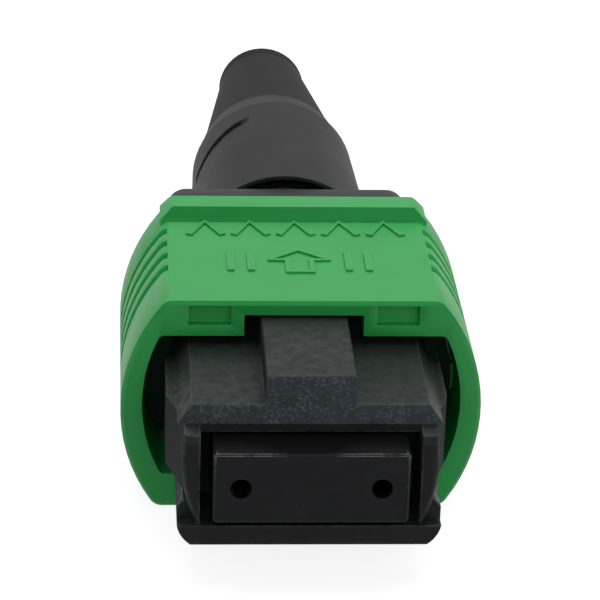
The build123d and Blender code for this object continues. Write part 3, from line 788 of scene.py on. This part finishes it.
def rounded_moulding(node, name, radius, body, slot, finish):
    """A copy of a CAD node with its edges rounded by radius, in millimetres."""
    shape = bmesh.new()
    shape.from_mesh(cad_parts[node].data)
    bmesh.ops.scale(shape, vec=(1 / MM,) * 3, verts=shape.verts)
    bmesh.ops.remove_doubles(shape, verts=shape.verts, dist=WELD)
    bmesh.ops.dissolve_limit(
        shape, angle_limit=SAME_PLANE, verts=shape.verts, edges=shape.edges
    )
    welded = bpy.data.meshes.new(name + "_welded")
    shape.to_mesh(welded)
    shape.free()
    maker = bpy.data.objects.new(name + "_maker", welded)
    bpy.context.scene.collection.objects.link(maker)
    bevel = maker.modifiers.new("edge_radius", "BEVEL")
    bevel.width = radius
    bevel.segments = 3
    bevel.limit_method = "ANGLE"
    bevel.angle_limit = STEEPEST_SOFT
    bevel.use_clamp_overlap = True
    bevel.harden_normals = True
    bevel.miter_outer = "MITER_ARC"
    for face in welded.polygons:
        face.use_smooth = True
    depsgraph = bpy.context.evaluated_depsgraph_get()
    mesh = bpy.data.meshes.new_from_object(maker.evaluated_get(depsgraph), depsgraph=depsgraph)
    bpy.data.objects.remove(maker)
    mesh.transform(Matrix.Scale(MM, 4))
    print(name, "faces:", len(mesh.polygons))
    return as_piece(name, mesh, body, finish, stands_for=[node])


# %% [markdown]
# ### The four mouldings
# The sleeve is gripped and pulled, so its edges are the softest, a tenth of a millimetre. The
# housing and the push slide in other pieces and keep crisp edges of half that. The boot lies
# between. Each rounded copy stands for its solid and rides on the same body.

# %% Round the four mouldings
MOULDINGS = {                                  # name, edge radius, body, slot and finish
    "outer_sleeve": ("pull_sleeve", 0.1, "sleeve", "green_sleeve", sleeve_green),
    "inner_housing": ("nose_housing", 0.05, "plug", "black_housing", housing_black),
    "spring_push": ("rear_push", 0.05, "plug", "black_housing", push_black),
    "strain_relief_boot": ("tapered_boot", 0.06, "plug", "black_boot", boot_black),
}
rounded = {node: rounded_moulding(node, *choices) for node, choices in MOULDINGS.items()}

# %% [markdown]
# ### The boot's smooth turn
# The boot is a turned shape, and its solid is made of narrow flat strips that would show as
# faint stripes. So the strips' corners get the normals of true cones about the Y axis. Faces
# that look along the boot, and those that don't look straight out from the axis, keep theirs.
# No point of the mesh moves.


# %% Smooth the boot
TURN_TOLERANCE = radians(12)                   # how far a strip may look off the axis
STEEPEST_CONE = 0.7                            # the normal's Y, beyond which it is a step


def turned_normals(mesh):
    """Shades the turned faces round the Y axis as true cones, free of facets."""
    normals = [Vector(corner.vector) for corner in mesh.corner_normals]
    turned = 0
    for face in mesh.polygons:
        outward = Vector((face.center.x, 0, face.center.z)).normalized()
        slope = face.normal.y
        flat = Vector((face.normal.x, 0, face.normal.z)).normalized()
        if abs(slope) > STEEPEST_CONE or outward.dot(flat) < cos(TURN_TOLERANCE):
            continue
        turned += 1
        for loop in face.loop_indices:
            point = mesh.vertices[mesh.loops[loop].vertex_index].co
            radial = Vector((point.x, 0, point.z)).normalized() * (1 - slope ** 2) ** 0.5
            normals[loop] = radial + Vector((0, slope, 0))
    mesh.normals_split_custom_set(normals)
    return turned


print("boot faces shaded as cones:", turned_normals(rounded["strain_relief_boot"].data))

# %% [markdown]
# ## Shapes by Geometry Nodes
# The springs and the raised marks on the sleeve are all one idea: a profile swept along a path.
# So the start of such a tree, with its named inputs, and its end are written once. The end
# sweeps the profile, makes the result real and gives it the finish that the tree was handed.


# %% Tree helpers
def open_tree(name, numbers, takes=None):
    """A geometry tree with float inputs {name: default}, a Finish input and one output.

    With takes, its first input is a shape of that name."""
    tree = bpy.data.node_groups.new(name, "GeometryNodeTree")
    if takes:
        tree.interface.new_socket(takes, in_out="INPUT", socket_type="NodeSocketGeometry")
    for label, value in numbers.items():
        socket = tree.interface.new_socket(label, in_out="INPUT", socket_type="NodeSocketFloat")
        socket.default_value = value
    tree.interface.new_socket("Finish", in_out="INPUT", socket_type="NodeSocketMaterial")
    tree.interface.new_socket("Shape", in_out="OUTPUT", socket_type="NodeSocketGeometry")
    return tree


def sweep_and_finish(tree, entry, path, profile):
    """Ends a tree: sweeps the profile along the path and sets the finish."""
    sweep = tree.nodes.new("GeometryNodeCurveToMesh")
    sweep.inputs["Fill Caps"].default_value = True
    tree.links.new(path, sweep.inputs["Curve"])
    tree.links.new(profile, sweep.inputs["Profile Curve"])
    whole = tree.nodes.new("GeometryNodeRealizeInstances")
    tree.links.new(sweep.outputs[0], whole.inputs[0])
    coat = tree.nodes.new("GeometryNodeSetMaterial")
    tree.links.new(whole.outputs[0], coat.inputs["Geometry"])
    tree.links.new(entry.outputs["Finish"], coat.inputs["Material"])
    tree.links.new(coat.outputs[0], tree.nodes.new("NodeGroupOutput").inputs["Shape"])


def grown_mesh(name, tree, values, place, base=None, smooth=True):
    """Runs a geometry tree in millimetres and bakes what it grows in metres."""
    maker = bpy.data.objects.new(name + "_maker", base or bpy.data.meshes.new(name + "_base"))
    bpy.context.scene.collection.objects.link(maker)
    modifier = maker.modifiers.new("grow", "NODES")
    modifier.node_group = tree
    for socket in tree.interface.items_tree:
        if socket.in_out == "INPUT" and socket.name in values:
            modifier[socket.identifier] = values[socket.name]
    depsgraph = bpy.context.evaluated_depsgraph_get()
    mesh = bpy.data.meshes.new_from_object(maker.evaluated_get(depsgraph), depsgraph=depsgraph)
    bpy.data.objects.remove(maker)
    mesh.transform(Matrix.Scale(MM, 4) @ place)
    for face in mesh.polygons:
        face.use_smooth = smooth
    print(name, "faces:", len(mesh.polygons))
    return mesh


# %% [markdown]
# ## Springs
# A compression spring is a rule: a wire swept along a helix. A Spiral primitive makes a round
# helix, a Transform squeezes it to the oval that the main spring needs, and a circle is its
# wire. The turns, radius, length and wire are inputs, so one tree winds all three springs.


# %% Spring tree
TURN_POINTS, WIRE_SIDES = 40, 10


def build_spring_tree():
    numbers = {"Turns": 7.0, "Radius": 1.0, "Length": 5.0, "Squeeze": 1.0, "Wire": 0.1}
    tree = open_tree("wound_spring", numbers)
    entry = tree.nodes.new("NodeGroupInput")
    helix = tree.nodes.new("GeometryNodeCurveSpiral")
    helix.inputs["Resolution"].default_value = TURN_POINTS
    tree.links.new(entry.outputs["Turns"], helix.inputs["Rotations"])
    tree.links.new(entry.outputs["Radius"], helix.inputs["Start Radius"])
    tree.links.new(entry.outputs["Radius"], helix.inputs["End Radius"])
    tree.links.new(entry.outputs["Length"], helix.inputs["Height"])
    oval = tree.nodes.new("ShaderNodeCombineXYZ")
    oval.inputs["X"].default_value = 1.0
    oval.inputs["Z"].default_value = 1.0
    tree.links.new(entry.outputs["Squeeze"], oval.inputs["Y"])
    squeeze = tree.nodes.new("GeometryNodeTransform")
    tree.links.new(helix.outputs[0], squeeze.inputs["Geometry"])
    tree.links.new(oval.outputs[0], squeeze.inputs["Scale"])
    wire = tree.nodes.new("GeometryNodeCurvePrimitiveCircle")
    wire.inputs["Resolution"].default_value = WIRE_SIDES
    tree.links.new(entry.outputs["Wire"], wire.inputs["Radius"])
    sweep_and_finish(tree, entry, squeeze.outputs[0], wire.outputs[0])
    return tree


SPRING_TREE = build_spring_tree()
print("geometry tree:", SPRING_TREE.name)

# %% [markdown]
# ### Winding
# Each spring fills the box of its CAD solid, less the thickness of its own wire.


def wound_spring(node, name, turns, wire):
    """A smooth spring in the box of its CAD node."""
    low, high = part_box(node)
    middle, size = (low + high) / 2 / MM, (high - low) / MM
    values = {
        "Turns": turns,
        "Radius": (size.x - wire) / 2,
        "Squeeze": (size.z - wire) / (size.x - wire),
        "Length": size.y - wire,
        "Wire": wire / 2,
        "Finish": spring_steel,
    }
    front = Vector((middle.x, low.y / MM + wire / 2, middle.z))
    place = Matrix.Translation(front) @ Matrix.Rotation(-pi / 2, 4, "X")
    mesh = grown_mesh(name, SPRING_TREE, values, place)
    spring = as_piece(name, mesh, "plug", spring_steel, stands_for=[node])
    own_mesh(spring)


for flank in ("left", "right"):
    wound_spring(
        f"{flank}_sleeve_spring", f"{flank}_return_coil", turns=7.0, wire=0.2
    )
wound_spring("main_spring", "oval_main_coil", turns=5.5, wire=0.45)

# %% [markdown]
# ## Raised marks on the sleeve
# The flat top of such a sleeve carries raised marks: here a row of chevrons and an arrow that
# say which way to pull. They could be cut into the solid's mesh, but strokes are easier to
# change: a tree sweeps a low square bead along them, so all share one width and height.


# %% Mark tree
def build_bead_tree():
    tree = open_tree("raised_bead", {"Width": 0.16, "Height": 0.05}, takes="Strokes")
    entry = tree.nodes.new("NodeGroupInput")
    strokes = tree.nodes.new("GeometryNodeMeshToCurve")
    tree.links.new(entry.outputs["Strokes"], strokes.inputs[0])
    upright = tree.nodes.new("GeometryNodeSetCurveNormal")
    upright.mode = "Z_UP"
    tree.links.new(strokes.outputs[0], upright.inputs[0])
    profile = tree.nodes.new("GeometryNodeCurvePrimitiveQuadrilateral")
    tree.links.new(entry.outputs["Width"], profile.inputs["Width"])
    above_and_below = mathematics(tree, "MULTIPLY", entry.outputs["Height"], 2.0)
    tree.links.new(above_and_below, profile.inputs["Height"])
    sweep_and_finish(tree, entry, upright.outputs[0], profile.outputs[0])
    return tree


BEAD_TREE = build_bead_tree()
print("geometry tree:", BEAD_TREE.name)

# %% [markdown]
# ### Drawing the marks
# Five chevrons stand in a row before the ridge, and an arrow between two pairs of bars stands
# before them. Each mark is drawn as strokes on the flat top, in millimetres from the middle
# and from the tip of the nose. A stroke that ends where it began is closed.


# %% Chevrons and arrow
def stroke_mesh(name, strokes):
    """A mesh of edges only, with one chain for each stroke."""
    points, edges = [], []
    for stroke in strokes:
        first = len(points)
        closed = stroke[0] == stroke[-1]
        points += stroke[:-1] if closed else stroke
        edges += [(i, i + 1) for i in range(first, len(points) - 1)]
        if closed:
            edges.append((len(points) - 1, first))
    mesh = bpy.data.meshes.new(name)
    mesh.from_pydata(points, edges, [])
    return mesh


def chevron(x, y, half_width, length):
    """An open chevron that points back along the plug."""
    return [(x - half_width, y, 0), (x, y + length, 0), (x + half_width, y, 0)]


def arrow_outline(tail, shoulder, tip, shaft, head):
    """A closed arrow; three places along the plug, and half the widths of shaft and head."""
    return [
        (-shaft, tail, 0), (-shaft, shoulder, 0), (-head, shoulder, 0), (0, tip, 0),
        (head, shoulder, 0), (shaft, shoulder, 0), (shaft, tail, 0), (-shaft, tail, 0),
    ]


RIDGE_RISE = 0.5                               # from the flat top to the ridge's crest
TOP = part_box("outer_sleeve")[1].z / MM - RIDGE_RISE
BEAD = {"Width": 0.24, "Height": 0.08, "Finish": sleeve_green}
CHEVRON_PITCH, CHEVRON_ROW = 1.6, 11.75
BARS_ACROSS = (-2.4, -1.7, 1.7, 2.4)
BAR_START, BAR_END = 8.6, 10.2

chevrons = [
    chevron(step * CHEVRON_PITCH, CHEVRON_ROW, half_width=0.6, length=1.15)
    for step in range(-2, 3)
]
arrow = [arrow_outline(tail=8.5, shoulder=9.5, tip=10.4, shaft=0.42, head=1.0)]
arrow += [[(x, BAR_START, 0), (x, BAR_END, 0)] for x in BARS_ACROSS]
for name, strokes in (("pull_chevrons", chevrons), ("pull_arrow", arrow)):
    base = stroke_mesh(name + "_strokes", strokes)
    mesh = grown_mesh(name, BEAD_TREE, BEAD, Matrix.Translation((0, 0, TOP)), base, smooth=False)
    as_piece(name, mesh, "sleeve", sleeve_green)

# %% [markdown]
# ## Finishes on the carried-over solids
# The ferrule, its glue, its rubber, the clamp, the crimp ring, the ribbon and the twelve fibres
# already have the right shape. Their meshes stay as they are and only take a material.

# %% Dress the other solids
DRESS = {
    "mt_ferrule": ferrule_resin,
    "window_epoxy": clear_epoxy,
    "ferrule_boot": soft_rubber,
    "pin_clamp": clamp_grey,
    "crimp_ring": crimp_metal,
    "fibre_ribbon": ribbon_coating,
}
fibres = [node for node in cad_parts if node.startswith(("fibre_0", "fibre_1"))]
DRESS.update(dict.fromkeys(fibres, fibre_glass))
for node, finish in DRESS.items():
    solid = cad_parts[node]
    solid.data.materials.clear()
    solid.data.materials.append(finish)
print("dressed solids:", len(DRESS))
